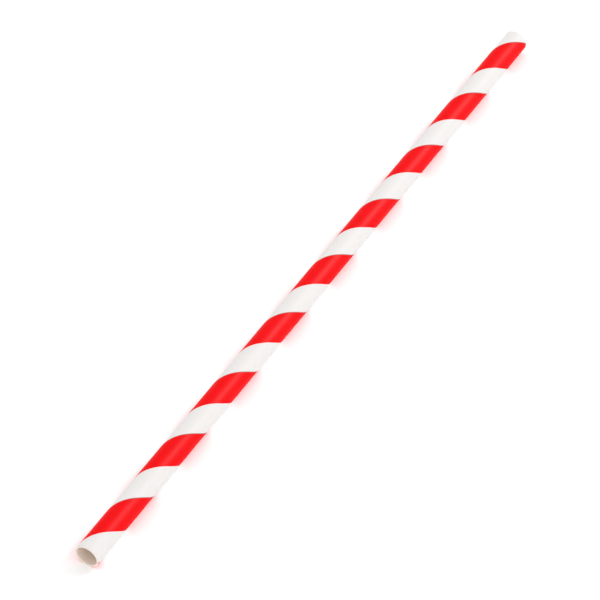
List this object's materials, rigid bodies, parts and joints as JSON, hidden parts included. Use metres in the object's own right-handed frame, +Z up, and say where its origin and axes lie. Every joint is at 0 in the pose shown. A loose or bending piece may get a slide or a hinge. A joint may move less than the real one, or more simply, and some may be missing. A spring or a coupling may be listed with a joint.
{
  "type": "drinking straw",
  "caption": "Round paper drinking straw with red and white spiral stripes, open at both square-cut ends, lying on its side.",
  "frame": {"origin": "on the surface the straw lies on, under the middle of its length", "axes": "+Y along the straw, +Z up from the surface, +X across the straw"},
  "size_m": [0.006, 0.197, 0.006],
  "materials": {
    "striped_paper": "semi-gloss printed paper in red and white bands, plain off-white paper in the bore and on the cut ends"
  },
  "bodies": {
    "root": {"paper_tube": "striped_paper"}
  },
  "joints": []
}
